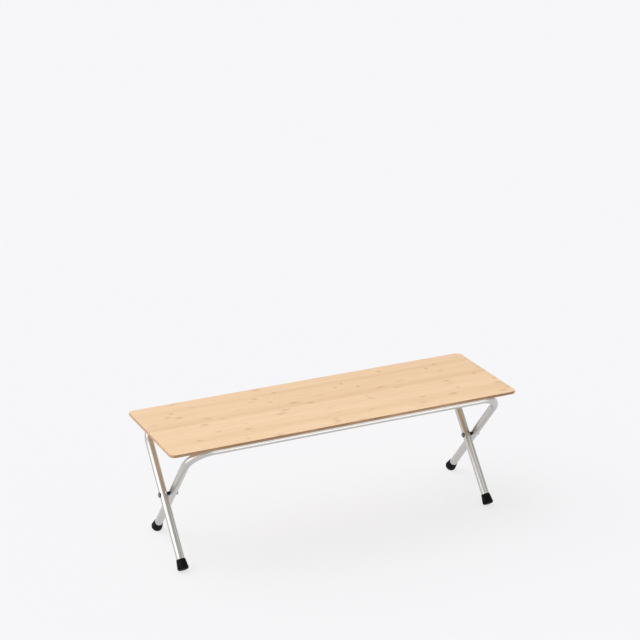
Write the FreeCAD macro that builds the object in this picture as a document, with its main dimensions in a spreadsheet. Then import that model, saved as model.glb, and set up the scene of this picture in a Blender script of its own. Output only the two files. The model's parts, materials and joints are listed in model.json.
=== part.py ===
import FreeCAD, Part
import math
import os
import Sketcher

# Folding bench in millimetres. X runs along the seat, the front is -Y, +Z is up.
# The origin is on the ground under the middle of the seat.
# Two U-shaped tube frames cross as an X at both ends of the bench. The rear bar frame has its
# bar under the rear edge of the seat and its feet in front; the front bar frame is the reverse.

doc = FreeCAD.newDocument("folding_bench")
sheet = doc.addObject("Spreadsheet::Sheet", "sizes")

DRIVING_SIZES = [
    # seat board
    ("seat_length", 1100.0),
    ("seat_width", 350.0),
    ("seat_height", 378.0),
    ("board_thickness", 8.0),
    ("board_corner", 18.0),
    ("board_edge_round", 1.5),
    ("board_gap", 0.3),
    # tube frames
    ("tube_diameter", 24.0),
    ("tube_wall", 1.5),
    ("bend_radius", 70.0),
    ("leg_inset", 53.0),
    ("leg_gap", 4.0),
    ("bar_inset", 28.0),
    ("foot_inset", 25.0),
    # rubber feet
    ("foot_bottom_diameter", 33.0),
    ("foot_top_diameter", 26.8),
    ("foot_height", 31.0),
    ("foot_round", 5.0),
    ("foot_lip_round", 0.8),
    ("foot_sole", 8.0),
    ("foot_flat", 0.6),
    ("foot_fit", 0.05),
    ("sole_washer_diameter", 22.0),
    ("sole_washer_thickness", 1.5),
    # pivots
    ("pivot_diameter", 6.0),
    ("pivot_clearance", 0.06),
    ("rivet_head_diameter", 12.4),
    ("rivet_head_height", 3.6),
    ("washer_diameter", 15.5),
    ("washer_thickness", 1.2),
    ("spacer_diameter", 11.5),
    ("spacer_clearance", 0.1),
    ("saddle_fit", 0.05),
    # seat hinge clamps
    ("clamp_width", 32.0),
    ("clamp_wall", 3.4),
    ("clamp_pitch", 330.0),
    ("clamp_clearance", 0.08),
    ("clamp_ear_thickness", 4.0),
    ("clamp_ear_length", 9.6),
    ("clamp_screw_offset", 20.2),
    # screws
    ("screw_diameter", 4.0),
    ("screw_head_diameter", 7.6),
    ("screw_head_height", 2.4),
    ("screw_bite", 6.0),
    ("screw_fit", 0.05),
    ("screw_socket", 2.5),
    ("screw_socket_depth", 1.4),
    # catches
    ("catch_spacing", 250.0),
    ("catch_pin_inset", 40.0),
    ("catch_pin_drop", 9.0),
    ("catch_pin_diameter", 5.0),
    ("catch_pin_clearance", 0.06),
    ("catch_pin_head_diameter", 8.0),
    ("catch_pin_head_height", 1.6),
    ("hook_thickness", 5.0),
    ("hook_arm_width", 8.0),
    ("hook_lip_width", 5.0),
    ("hook_lip_rise", 5.0),
    ("hook_boss_diameter", 11.0),
    ("hook_gap", 1.0),
    ("hook_throat", 7.0),
    ("cheek_thickness", 4.0),
    ("cheek_gap", 0.3),
    ("cheek_width", 14.0),
    ("bracket_base_thickness", 3.0),
    ("bracket_base_length", 48.0),
    ("bracket_base_width", 20.0),
    ("bracket_screw_offset", 17.0),
]

# Values that follow from the sizes above, with angles in degrees
FOLLOWING_SIZES = [
    ("frame_half_span", "seat_length / 2 - leg_inset"),
    ("bar_offset", "seat_width / 2 - bar_inset"),
    ("foot_offset", "seat_width / 2 - foot_inset"),
    ("board_level", "seat_height - board_thickness"),
    ("bar_level", "board_level - board_gap - tube_diameter / 2"),
    ("pivot_level", "bar_level * foot_offset / (bar_offset + foot_offset)"),
    ("rear_angle", "atan(bar_level / (bar_offset + foot_offset)) / 1 deg"),
    ("front_angle", "180 - rear_angle"),
    ("bar_reach", "bar_offset / cos(rear_angle)"),
    ("foot_drop", "(foot_bottom_diameter / 2 - foot_round) * cos(rear_angle)"),
    ("foot_reach", "(pivot_level + foot_flat - foot_round - foot_drop) / sin(rear_angle) + foot_round"),
    ("tube_end_reach", "foot_reach - foot_sole - sole_washer_thickness"),
    ("half_shift", "(tube_diameter + leg_gap) / 2"),
    ("outer_leg", "frame_half_span + half_shift"),
    ("inner_leg", "frame_half_span - half_shift"),
    ("rivet_seat", "half_shift + tube_diameter / 2 + washer_thickness"),
    ("clamp_bore", "tube_diameter / 2 + clamp_clearance"),
    ("clamp_outer", "clamp_bore + clamp_wall"),
    ("clamp_top", "tube_diameter / 2 + board_gap"),
    ("catch_pin_y", "catch_pin_inset - bar_offset"),
    ("catch_pin_level", "board_level - catch_pin_drop"),
    ("bar_drop", "board_gap + tube_diameter / 2 - catch_pin_drop"),
    ("pin_to_bar", "sqrt(catch_pin_inset ^ 2 + bar_drop ^ 2)"),
    ("arm_lift", "asin((tube_diameter / 2 + hook_throat + hook_arm_width / 2) / pin_to_bar) / 1 deg"),
    ("hook_reach", "pin_to_bar + tube_diameter / 2 + hook_gap"),
    ("cheek_span", "hook_thickness + 2 * cheek_gap + 2 * cheek_thickness"),
]

ROWS = [(alias, str(number)) for alias, number in DRIVING_SIZES]
ROWS += [(alias, "=" + formula) for alias, formula in FOLLOWING_SIZES]
for row, (alias, content) in enumerate(ROWS, start=1):
    sheet.set("A%d" % row, alias)
    sheet.set("B%d" % row, content)
    sheet.setAlias("B%d" % row, alias)
    doc.recompute()


def size(expression):
    """The number that an expression on the sheet's sizes gives now."""
    result = sheet.evalExpression(expression)
    return float(getattr(result, "Value", result))


nodes = []


def publish(piece, label):
    """Keep a finished piece as a node under its own label."""
    piece.Label = label
    nodes.append(piece)
    return piece


def place(piece, x, y, z, axis=(1, 0, 0), angle="0"):
    """Bind a piece's place to the sheet: a turn about one axis, then a shift."""
    piece.Placement = FreeCAD.Placement(FreeCAD.Vector(0, 0, 0), FreeCAD.Rotation(FreeCAD.Vector(*axis), 1))
    piece.setExpression("Placement.Rotation.Angle", angle)
    piece.setExpression("Placement.Base.x", x)
    piece.setExpression("Placement.Base.y", y)
    piece.setExpression("Placement.Base.z", z)
    return piece


def new_sketch(body, name, role, lift=None):
    """An empty sketch on one of a body's own origin planes, lifted off it if asked."""
    sketch = body.newObject("Sketcher::SketchObject", name)
    plane = [item for item in body.Origin.OriginFeatures if item.Role == role][0]
    sketch.AttachmentSupport = [(plane, "")]
    sketch.MapMode = "FlatFace"
    if lift:
        sketch.setExpression("AttachmentOffset.Base.z", lift)
    return sketch


def pin_point(sketch, piece, end, x, y):
    """Hold one end of a sketch piece at a place given by two expressions."""
    for kind, axis, expression in (("DistanceX", -2, x), ("DistanceY", -1, y)):
        if expression == "0":
            sketch.addConstraint(Sketcher.Constraint("PointOnObject", piece, end, axis))
            continue
        index = sketch.addConstraint(Sketcher.Constraint(kind, -1, 1, piece, end, size(expression)))
        sketch.setExpression("Constraints[%d]" % index, expression)


def draw_outline(sketch, points, arcs=None, closed=True):
    """Draw straight runs and arcs through points. arcs maps a run's number to (radius, turn):
    turn is 1 for an arc that runs anticlockwise and -1 for one that runs clockwise."""
    arcs = arcs or {}
    spots = [FreeCAD.Vector(size(x), size(y), 0) for x, y in points]
    runs = len(points) if closed else len(points) - 1
    ends = []
    for run in range(runs):
        start = spots[run]
        stop = spots[(run + 1) % len(spots)]
        if run not in arcs:
            piece = sketch.addGeometry(Part.LineSegment(start, stop), False)
            ends.append((piece, 1, 2))
            continue
        radius, turn = size(arcs[run][0]), arcs[run][1]
        chord = stop - start
        height = math.sqrt(max(radius ** 2 - (chord.Length / 2) ** 2, 0))
        side = FreeCAD.Vector(-chord.y, chord.x, 0).normalize() * (height * turn)
        centre = (start + stop) * 0.5 + side
        first, last = (start, stop) if turn > 0 else (stop, start)
        angles = [math.atan2(spot.y - centre.y, spot.x - centre.x) for spot in (first, last)]
        circle = Part.Circle(centre, FreeCAD.Vector(0, 0, 1), radius)
        piece = sketch.addGeometry(Part.ArcOfCircle(circle, angles[0], angles[1]), False)
        ends.append((piece, 1, 2) if turn > 0 else (piece, 2, 1))
    for run in range(runs if closed else runs - 1):
        piece, _, stop_end = ends[run]
        after, start_end, _ = ends[(run + 1) % runs]
        sketch.addConstraint(Sketcher.Constraint("Coincident", piece, stop_end, after, start_end))
    for run, (piece, start_end, _) in enumerate(ends):
        pin_point(sketch, piece, start_end, *points[run])
    if not closed:
        pin_point(sketch, ends[-1][0], ends[-1][2], *points[-1])
    for run, (radius, _) in arcs.items():
        index = sketch.addConstraint(Sketcher.Constraint("Radius", ends[run][0], size(radius)))
        sketch.setExpression("Constraints[%d]" % index, radius)


def draw_circle(sketch, x, y, diameter):
    """Draw a circle whose centre and diameter follow the sheet."""
    centre = FreeCAD.Vector(size(x), size(y), 0)
    circle = Part.Circle(centre, FreeCAD.Vector(0, 0, 1), size(diameter) / 2)
    piece = sketch.addGeometry(circle, False)
    pin_point(sketch, piece, 3, x, y)
    index = sketch.addConstraint(Sketcher.Constraint("Diameter", piece, size(diameter)))
    sketch.setExpression("Constraints[%d]" % index, diameter)


def cut_through(body, sketch, name):
    """Cut a sketch right through a body both ways, and see that material was removed."""
    doc.recompute()
    before = body.Shape.Volume
    pocket = body.newObject("PartDesign::Pocket", name)
    pocket.Profile = sketch
    pocket.Type = "ThroughAll"
    pocket.Midplane = True
    doc.recompute()
    if not body.Shape.Volume < before:
        raise RuntimeError("%s cut nothing" % name)


def revolve(body, sketch, name, axis):
    """Turn a sketch all the way round one of its own axes."""
    turned = body.newObject("PartDesign::Revolution", name)
    turned.Profile = sketch
    turned.ReferenceAxis = (sketch, [axis])
    turned.Angle = 360.0
    return turned


def new_cylinder(name, diameter, length):
    """A plain cylinder along Z whose diameter and length follow the sheet."""
    cylinder = doc.addObject("Part::Cylinder", name)
    cylinder.setExpression("Radius", "(%s) / 2" % diameter)
    cylinder.setExpression("Height", length)
    return cylinder


def new_box(name, length, width, height):
    """A plain box from its corner whose three sides follow the sheet."""
    box = doc.addObject("Part::Box", name)
    for side, expression in (("Length", length), ("Width", width), ("Height", height)):
        box.setExpression(side, expression)
    return box


def cut_from(name, base, tool):
    """One shape less another."""
    cut = doc.addObject("Part::Cut", name)
    cut.Base = base
    cut.Tool = tool
    return cut


def fuse_all(name, shapes):
    """Several shapes joined into one solid."""
    fused = doc.addObject("Part::MultiFuse", name)
    fused.Shapes = shapes
    return fused


def group_all(name, pieces):
    """Separate pieces of one kind kept together as one node."""
    group = doc.addObject("Part::Compound", name)
    group.Links = pieces
    return group


CATCH_PIN = ("sizes.catch_pin_y", "sizes.catch_pin_level")
CLAMP_PLACES = ["-sizes.clamp_pitch", "0", "sizes.clamp_pitch"]
CATCH_PLACES = {"left": "-sizes.catch_spacing", "right": "sizes.catch_spacing"}
CLAMP_SCREWS = [
    (x, "sizes.bar_offset %s sizes.clamp_screw_offset" % sign) for x in CLAMP_PLACES for sign in "-+"]
BRACKET_SCREWS = [
    ("%s %s sizes.bracket_screw_offset" % (x, sign), CATCH_PIN[0])
    for x in CATCH_PLACES.values() for sign in "-+"]


def make_seat_board():
    """Thin board with rounded corners and edges, and blind pilot holes in its underside."""
    body = doc.addObject("PartDesign::Body", "board_body")
    plan = new_sketch(body, "board_plan", "XY_Plane")
    half_length, half_width = "sizes.seat_length / 2", "sizes.seat_width / 2"
    draw_outline(plan, [
        ("-" + half_length, "-" + half_width), (half_length, "-" + half_width),
        (half_length, half_width), ("-" + half_length, half_width)])
    slab = body.newObject("PartDesign::Pad", "board_slab")
    slab.Profile = plan
    slab.setExpression("Length", "sizes.board_thickness")
    doc.recompute()
    upright = [
        "Edge%d" % number for number, edge in enumerate(slab.Shape.Edges, start=1)
        if abs(edge.tangentAt(edge.FirstParameter).z) > 0.9]
    corners = body.newObject("PartDesign::Fillet", "board_corners")
    corners.Base = (slab, upright)
    corners.setExpression("Radius", "sizes.board_corner")
    doc.recompute()
    rim = [
        "Edge%d" % number for number, edge in enumerate(corners.Shape.Edges, start=1)
        if abs(edge.Vertexes[0].Z - edge.Vertexes[-1].Z) < 0.001]
    edges = body.newObject("PartDesign::Fillet", "board_edges")
    edges.Base = (corners, rim)
    edges.setExpression("Radius", "sizes.board_edge_round")
    holes = new_sketch(body, "pilot_plan", "XY_Plane")
    for x, y in CLAMP_SCREWS + BRACKET_SCREWS:
        draw_circle(holes, x, y, "sizes.screw_diameter + 2 * sizes.screw_fit")
    doc.recompute()
    before = body.Shape.Volume
    pilots = body.newObject("PartDesign::Pocket", "pilot_holes")
    pilots.Profile = holes
    pilots.setExpression("Length", "sizes.screw_bite + sizes.screw_fit")
    pilots.Reversed = True
    doc.recompute()
    if not body.Shape.Volume < before:
        raise RuntimeError("the pilot holes cut nothing")
    place(body, "0", "0", "sizes.board_level")
    publish(body, "seat_board")


def make_frame(label, shift, angle):
    """One U of round tube: a straight bar, two equal bends and two straight legs, all in one plane,
    with a hole across each leg for its pivot. It is drawn flat, with the pivot line along X."""
    body = doc.addObject("PartDesign::Body", label + "_body")
    path = new_sketch(body, label + "_path", "XY_Plane")
    side, top, bend = "sizes.frame_half_span", "sizes.bar_reach", "sizes.bend_radius"
    foot = "-sizes.tube_end_reach"
    draw_outline(path, [
        ("-" + side, foot), ("-" + side, top + " - " + bend),
        ("-" + side + " + " + bend, top), (side + " - " + bend, top),
        (side, top + " - " + bend), (side, foot)],
        {1: (bend, -1), 3: (bend, -1)}, closed=False)
    ring = new_sketch(body, label + "_section", "XZ_Plane", "sizes.tube_end_reach")
    draw_circle(ring, "-" + side, "0", "sizes.tube_diameter")
    draw_circle(ring, "-" + side, "0", "sizes.tube_diameter - 2 * sizes.tube_wall")
    tube = body.newObject("PartDesign::AdditivePipe", label + "_tube")
    tube.Profile = ring
    tube.Spine = path
    hole = new_sketch(body, label + "_hole_plan", "YZ_Plane")
    draw_circle(hole, "0", "0", "sizes.pivot_diameter + 2 * sizes.pivot_clearance")
    cut_through(body, hole, label + "_holes")
    place(body, shift, "0", "sizes.pivot_level", angle=angle)
    publish(body, label)


def make_foot(label, x, angle):
    """Tapered rubber ferrule over a leg's end, with a flat worn by the ground."""
    body = doc.addObject("PartDesign::Body", label + "_body")
    profile = new_sketch(body, label + "_profile", "XZ_Plane")
    bottom, top = "sizes.foot_bottom_diameter / 2", "sizes.foot_top_diameter / 2"
    bore = "sizes.tube_diameter / 2 + sizes.foot_fit"
    sole, height, lip = "sizes.foot_sole", "sizes.foot_height", "sizes.foot_lip_round"
    draw_outline(profile, [
        ("0", "0"), (bottom + " - sizes.foot_round", "0"), (bottom, "sizes.foot_round"),
        (top, height + " - " + lip), (top + " - " + lip, height),
        (bore, height), (bore, sole), ("0", sole)],
        {1: ("sizes.foot_round", 1), 3: (lip, 1)})
    revolve(body, profile, label + "_turned", "V_Axis")
    # The sole looks down the leg, away from the pivot
    sole_y = "-sizes.foot_reach * cos(%s)" % angle
    sole_z = "sizes.pivot_level - sizes.foot_reach * sin(%s)" % angle
    place(body, x, sole_y, sole_z, angle=angle + " - 90")
    width = "2 * sizes.foot_height"
    ground = new_box(label + "_ground", width, width, "sizes.foot_height")
    place(ground, x + " - sizes.foot_height", sole_y + " - sizes.foot_height", "-sizes.foot_height")
    publish(cut_from(label + "_worn", body, ground), label)


def make_sole_washers(label, places, angle):
    """Steel discs at the bottom of the ferrules, where the tube's ends press."""
    discs = []
    reach = "(sizes.foot_reach - sizes.foot_sole)"
    y = "-%s * cos(%s)" % (reach, angle)
    z = "sizes.pivot_level - %s * sin(%s)" % (reach, angle)
    for number, x in enumerate(places):
        disc = new_cylinder(
            "%s_%d" % (label, number), "sizes.sole_washer_diameter", "sizes.sole_washer_thickness")
        place(disc, x, y, z, angle=angle + " - 90")
        discs.append(disc)
    publish(group_all(label + "_group", discs), label)


def make_rivet(side, sign):
    """Pivot rivet through both legs at one end, with a domed head at each end of its shank."""
    body = doc.addObject("PartDesign::Body", "rivet_%s_body" % side)
    profile = new_sketch(body, "rivet_%s_profile" % side, "XY_Plane")
    shank, head = "sizes.pivot_diameter / 2", "sizes.rivet_head_diameter / 2"
    seat = "sizes.rivet_seat"
    crown = seat + " + sizes.rivet_head_height"
    rim = "sizes.rivet_head_height / 4"
    dome = ("((%s) ^ 2 + (sizes.rivet_head_height - %s) ^ 2) / (2 * (sizes.rivet_head_height - %s))"
            % (head, rim, rim))
    draw_outline(profile, [
        ("-(" + crown + ")", "0"), ("-(" + seat + " + " + rim + ")", head), ("-" + seat, head),
        ("-" + seat, shank), (seat, shank), (seat, head),
        (seat + " + " + rim, head), (crown, "0")],
        {0: (dome, -1), 6: (dome, -1)})
    revolve(body, profile, "rivet_%s_turned" % side, "H_Axis")
    place(body, sign + "sizes.frame_half_span", "0", "sizes.pivot_level")
    publish(body, "pivot_rivet_" + side)


def make_saddle(label, diameter, thickness, leg_x, outward, angle):
    """A disc round the pivot, hollowed on one side to sit on its leg.
    outward is the sign of X that points from the leg to the disc's flat face."""
    disc = new_cylinder(label + "_disc", diameter, "sizes.tube_diameter / 2 + " + thickness)
    place(disc, leg_x, "0", "sizes.pivot_level", axis=(0, 1, 0), angle=outward + "90")
    leg = new_cylinder(label + "_leg", "sizes.tube_diameter + 2 * sizes.saddle_fit", "2 * " + diameter)
    y = "-%s * cos(%s)" % (diameter, angle)
    z = "sizes.pivot_level - %s * sin(%s)" % (diameter, angle)
    place(leg, leg_x, y, z, angle=angle + " - 90")
    seated = cut_from(label + "_seated", disc, leg)
    shank = new_cylinder(label + "_shank", "sizes.pivot_diameter + 2 * sizes.pivot_clearance",
                         "2 * sizes.tube_diameter")
    place(shank, leg_x + " - sizes.tube_diameter", "0", "sizes.pivot_level", axis=(0, 1, 0), angle="90")
    publish(cut_from(label + "_bored", seated, shank), label)


def make_clamp(label, x):
    """A saddle strap round the rear bar, open to the board, with an ear each side for its screws."""
    body = doc.addObject("PartDesign::Body", label + "_body")
    profile = new_sketch(body, label + "_profile", "YZ_Plane")
    bore, wall, top = "sizes.clamp_bore", "sizes.clamp_outer", "sizes.clamp_top"
    ear = "(sizes.clamp_outer + sizes.clamp_ear_length)"
    low = "(sizes.clamp_top - sizes.clamp_ear_thickness)"
    draw_outline(profile, [
        ("-" + bore, top), ("-" + bore, "0"), ("0", "-" + bore), (bore, "0"), (bore, top),
        (ear, top), (ear, low), (wall, low), (wall, "0"), ("0", "-" + wall), ("-" + wall, "0"),
        ("-" + wall, low), ("-" + ear, low), ("-" + ear, top)],
        {1: (bore, 1), 2: (bore, 1), 8: (wall, -1), 9: (wall, -1)})
    strap = body.newObject("PartDesign::Pad", label + "_strap")
    strap.Profile = profile
    strap.Midplane = True
    strap.setExpression("Length", "sizes.clamp_width")
    holes = new_sketch(body, label + "_hole_plan", "XY_Plane")
    for sign in ("-", ""):
        draw_circle(
            holes, "0", sign + "sizes.clamp_screw_offset", "sizes.screw_diameter + 2 * sizes.screw_fit")
    cut_through(body, holes, label + "_holes")
    place(body, x, "sizes.bar_offset", "sizes.bar_level")
    publish(body, label)


def make_screws(label, places, seat_thickness):
    """Round-headed screws driven up into the board, each with a hexagon socket in its head."""
    screws = []
    for number, (x, y) in enumerate(places):
        name = "%s_%d" % (label, number)
        under_head = "sizes.board_level - %s" % seat_thickness
        head = new_cylinder(name + "_head", "sizes.screw_head_diameter", "sizes.screw_head_height")
        place(head, x, y, under_head + " - sizes.screw_head_height")
        shank = new_cylinder(name + "_shank", "sizes.screw_diameter", seat_thickness + " + sizes.screw_bite")
        place(shank, x, y, under_head)
        socket = doc.addObject("Part::Prism", name + "_socket")
        socket.Polygon = 6
        socket.setExpression("Circumradius", "sizes.screw_socket / 2 / cos(30)")
        socket.setExpression("Height", "sizes.screw_socket_depth")
        place(socket, x, y, under_head + " - sizes.screw_head_height")
        screws.append(cut_from(name, fuse_all(name + "_blank", [head, shank]), socket))
    publish(group_all(label + "_group", screws), label)


def make_bracket(label, x):
    """A base under the board and two cheeks that carry the catch's pin."""
    body = doc.addObject("PartDesign::Body", label + "_body")
    half_length, half_width = "sizes.bracket_base_length / 2", "sizes.bracket_base_width / 2"
    plan = new_sketch(body, label + "_plan", "XY_Plane")
    draw_outline(plan, [
        ("-" + half_length, "-" + half_width), (half_length, "-" + half_width),
        (half_length, half_width), ("-" + half_length, half_width)])
    base = body.newObject("PartDesign::Pad", label + "_base")
    base.Profile = plan
    base.setExpression("Length", "sizes.bracket_base_thickness")
    base.Reversed = True
    cheek = new_sketch(body, label + "_cheek_profile", "YZ_Plane")
    half_cheek, drop = "sizes.cheek_width / 2", "-sizes.catch_pin_drop"
    draw_outline(cheek, [
        ("-" + half_cheek, "0"), ("-" + half_cheek, drop), ("0", drop + " - " + half_cheek),
        (half_cheek, drop), (half_cheek, "0")],
        {1: (half_cheek, 1), 2: (half_cheek, 1)})
    block = body.newObject("PartDesign::Pad", label + "_block")
    block.Profile = cheek
    block.Midplane = True
    block.setExpression("Length", "sizes.cheek_span")
    slot = new_sketch(body, label + "_slot_plan", "XZ_Plane")
    half_slot = "(sizes.cheek_span - 2 * sizes.cheek_thickness) / 2"
    roof = "-sizes.bracket_base_thickness"
    floor = drop + " - sizes.cheek_width"
    draw_outline(slot, [
        ("-" + half_slot, floor), (half_slot, floor), (half_slot, roof), ("-" + half_slot, roof)])
    cut_through(body, slot, label + "_slot")
    bore = new_sketch(body, label + "_bore_plan", "YZ_Plane")
    draw_circle(bore, "0", drop, "sizes.catch_pin_diameter + 2 * sizes.screw_fit")
    cut_through(body, bore, label + "_bore")
    holes = new_sketch(body, label + "_hole_plan", "XY_Plane")
    for sign in ("-", ""):
        draw_circle(
            holes, sign + "sizes.bracket_screw_offset", "0", "sizes.screw_diameter + 2 * sizes.screw_fit")
    cut_through(body, holes, label + "_holes")
    place(body, x, "sizes.catch_pin_y", "sizes.board_level")
    publish(body, label)


def make_catch_pin(label, x):
    """Pin through the cheeks and the hook, with a flat head at each end."""
    half_span = "sizes.cheek_span / 2"
    shank = new_cylinder(label + "_shank", "sizes.catch_pin_diameter", "sizes.cheek_span")
    place(shank, x + " - " + half_span, *CATCH_PIN, axis=(0, 1, 0), angle="90")
    parts = [shank]
    starts = {"first": " - %s - sizes.catch_pin_head_height" % half_span, "last": " + " + half_span}
    for end, start in starts.items():
        head = new_cylinder("%s_%s_head" % (label, end), "sizes.catch_pin_head_diameter",
                            "sizes.catch_pin_head_height")
        place(head, x + start, *CATCH_PIN, axis=(0, 1, 0), angle="90")
        parts.append(head)
    publish(fuse_all(label + "_whole", parts), label)


def make_hook(label, x):
    """A catch that swings down and forward, under the front bar, and stops the bar from moving out.
    It is drawn with its arm along +Y from the pin, which is how it lies when parked. Its lip
    stands square to the line from the pin to the bar when it is swung out. The throat leaves
    room under the bar, so that the arm swings up freely."""
    half_arm = "sizes.hook_arm_width / 2"
    corner = "sizes.hook_reach * tan(sizes.arm_lift)"
    boss = new_cylinder(label + "_boss", "sizes.hook_boss_diameter", "sizes.hook_thickness")
    place(boss, x + " - sizes.hook_thickness / 2", *CATCH_PIN, axis=(0, 1, 0), angle="90")
    arm_length = "sizes.hook_reach / cos(sizes.arm_lift)"
    arm = new_box(label + "_arm", "sizes.hook_thickness", arm_length, "sizes.hook_arm_width")
    place(arm, x + " - sizes.hook_thickness / 2", CATCH_PIN[0], CATCH_PIN[1] + " - " + half_arm)
    lip_length = "(%s + sizes.hook_lip_rise + %s)" % (corner, half_arm)
    lip = new_box(label + "_lip", "sizes.hook_thickness", "sizes.hook_lip_width", lip_length)
    # The lip's lower inner corner, turned about the pin with the hook
    across = "sizes.hook_reach * cos(sizes.arm_lift) - sizes.hook_lip_rise * sin(sizes.arm_lift)"
    down = "(sizes.hook_reach * sin(sizes.arm_lift) + sizes.hook_lip_rise * cos(sizes.arm_lift))"
    place(lip, x + " - sizes.hook_thickness / 2", "sizes.catch_pin_y + " + across,
          "sizes.catch_pin_level - " + down, angle="-sizes.arm_lift")
    blank = fuse_all(label + "_blank", [boss, arm, lip])
    bore = new_cylinder(label + "_bore", "sizes.catch_pin_diameter + 2 * sizes.catch_pin_clearance",
                        "2 * sizes.hook_thickness")
    place(bore, x + " - sizes.hook_thickness", *CATCH_PIN, axis=(0, 1, 0), angle="90")
    publish(cut_from(label + "_bored", blank, bore), label)


make_seat_board()
make_frame("rear_bar_frame", "-sizes.half_shift", "sizes.rear_angle")
make_frame("front_bar_frame", "sizes.half_shift", "sizes.front_angle")

# Both frames are the same U. The rear one is set to the left by half a leg spacing and the front
# one to the right, so the outer leg belongs to a different frame at each end.
LEGS = {
    ("left", "outer"): ("-sizes.outer_leg", "sizes.rear_angle", "-"),
    ("left", "inner"): ("-sizes.inner_leg", "sizes.front_angle", ""),
    ("right", "inner"): ("sizes.inner_leg", "sizes.rear_angle", "-"),
    ("right", "outer"): ("sizes.outer_leg", "sizes.front_angle", ""),
}
for (side, depth), (leg_x, angle, away) in LEGS.items():
    end = "front" if angle == "sizes.rear_angle" else "rear"
    toward = "" if away else "-"
    make_foot("foot_%s_%s" % (end, side), leg_x, angle)
    make_saddle("pivot_washer_%s_%s" % (side, depth), "sizes.washer_diameter",
                "sizes.washer_thickness", leg_x, away, angle)
    make_saddle("pivot_spacer_%s_%s" % (side, depth), "sizes.spacer_diameter",
                "(sizes.leg_gap - sizes.spacer_clearance) / 2", leg_x, toward, angle)
for end, chosen in (("front", "sizes.rear_angle"), ("rear", "sizes.front_angle")):
    make_sole_washers("sole_washers_" + end, [leg[0] for leg in LEGS.values() if leg[1] == chosen], chosen)
make_rivet("left", "-")
make_rivet("right", "")

for name, x in zip(("left", "middle", "right"), CLAMP_PLACES):
    make_clamp("hinge_clamp_" + name, x)
make_screws("hinge_screws", CLAMP_SCREWS, "sizes.clamp_ear_thickness")

for side, x in CATCH_PLACES.items():
    make_bracket("catch_bracket_" + side, x)
    make_catch_pin("catch_pin_" + side, x)
    make_hook("catch_hook_" + side, x)
make_screws("catch_screws", BRACKET_SCREWS, "sizes.bracket_base_thickness")

doc.recompute()

for item in doc.Objects:
    if "Invalid" in item.State or "Error" in item.State:
        raise RuntimeError("%s did not build: %s" % (item.Label, item.State))
os.makedirs("parts", exist_ok=True)
for node in nodes:
    shape = node.Shape
    if shape.isNull() or not shape.isValid() or shape.Volume <= 0:
        raise RuntimeError("%s has no sound shape" % node.Label)
    shape.exportStep("parts/%s.step" % node.Label)
    print("%-28s %d solid(s) %10.1f mm3" % (node.Label, len(shape.Solids), shape.Volume))
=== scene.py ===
import json
import math

import bmesh
import bpy
import numpy as np
from bpy.props import FloatProperty, FloatVectorProperty, IntProperty, PointerProperty
from mathutils import Matrix, Vector


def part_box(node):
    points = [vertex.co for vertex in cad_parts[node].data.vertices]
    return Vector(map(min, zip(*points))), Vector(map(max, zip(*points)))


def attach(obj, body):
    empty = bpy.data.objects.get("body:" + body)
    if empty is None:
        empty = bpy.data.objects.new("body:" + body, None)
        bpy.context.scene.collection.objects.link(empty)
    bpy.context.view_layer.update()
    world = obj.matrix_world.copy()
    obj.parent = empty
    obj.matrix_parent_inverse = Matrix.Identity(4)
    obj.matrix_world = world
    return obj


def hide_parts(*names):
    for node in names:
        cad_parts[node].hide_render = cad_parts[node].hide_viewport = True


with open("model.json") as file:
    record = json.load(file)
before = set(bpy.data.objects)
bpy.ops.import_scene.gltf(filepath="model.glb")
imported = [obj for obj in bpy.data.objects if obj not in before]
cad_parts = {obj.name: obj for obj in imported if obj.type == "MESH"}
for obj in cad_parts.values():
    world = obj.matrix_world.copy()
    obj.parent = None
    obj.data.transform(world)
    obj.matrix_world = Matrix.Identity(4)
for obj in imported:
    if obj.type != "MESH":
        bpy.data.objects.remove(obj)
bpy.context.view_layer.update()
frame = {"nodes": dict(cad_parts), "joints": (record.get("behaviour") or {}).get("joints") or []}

bl_info = {
    "name": "Folding bench",
    "version": (1, 0, 0),
    "blender": (4, 5, 0),
    "location": "3D View > Sidebar > Folding bench",
    "description": "Makes the looks of a folding bench: board, tube frames, feet and fittings",
    "category": "Object",
}

# Places and sizes read from the frame, in metres
NODES = frame["nodes"]
JOINTS = {joint["name"]: joint for joint in frame["joints"]}
PIVOT_LEVEL = JOINTS["frame_fold"]["pos_m"][2]
BAR_Y, BAR_LEVEL = JOINTS["seat_turn"]["pos_m"][1:]
SEAT_LOW, SEAT_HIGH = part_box("seat_board")
BOARD_DEPTH = float(SEAT_HIGH[1] - SEAT_LOW[1])
BOARD_MIDDLE = float(SEAT_LOW[2] + SEAT_HIGH[2]) / 2
LEG_ANGLE = math.atan2(BAR_LEVEL - PIVOT_LEVEL, BAR_Y)
BAR_REACH = math.hypot(BAR_LEVEL - PIVOT_LEVEL, BAR_Y)
REAR_LOW, REAR_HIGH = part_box("rear_bar_frame")
FRONT_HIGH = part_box("front_bar_frame")[1]
TUBE_RADIUS = REAR_HIGH[2] - BAR_LEVEL
HALF_SPAN = (REAR_HIGH[0] - REAR_LOW[0]) / 2 - TUBE_RADIUS
HALF_SHIFT = (FRONT_HIGH[0] - REAR_HIGH[0]) / 2

# Free space between a tube and what sits on it, and how thick the steel disc in each foot is
TUBE_FIT = 0.00005
SOLE_DISC = 0.0015

# Way round a tube, by which its drawing lines are counted
TUBE_GIRTH = 0.0754

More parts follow.
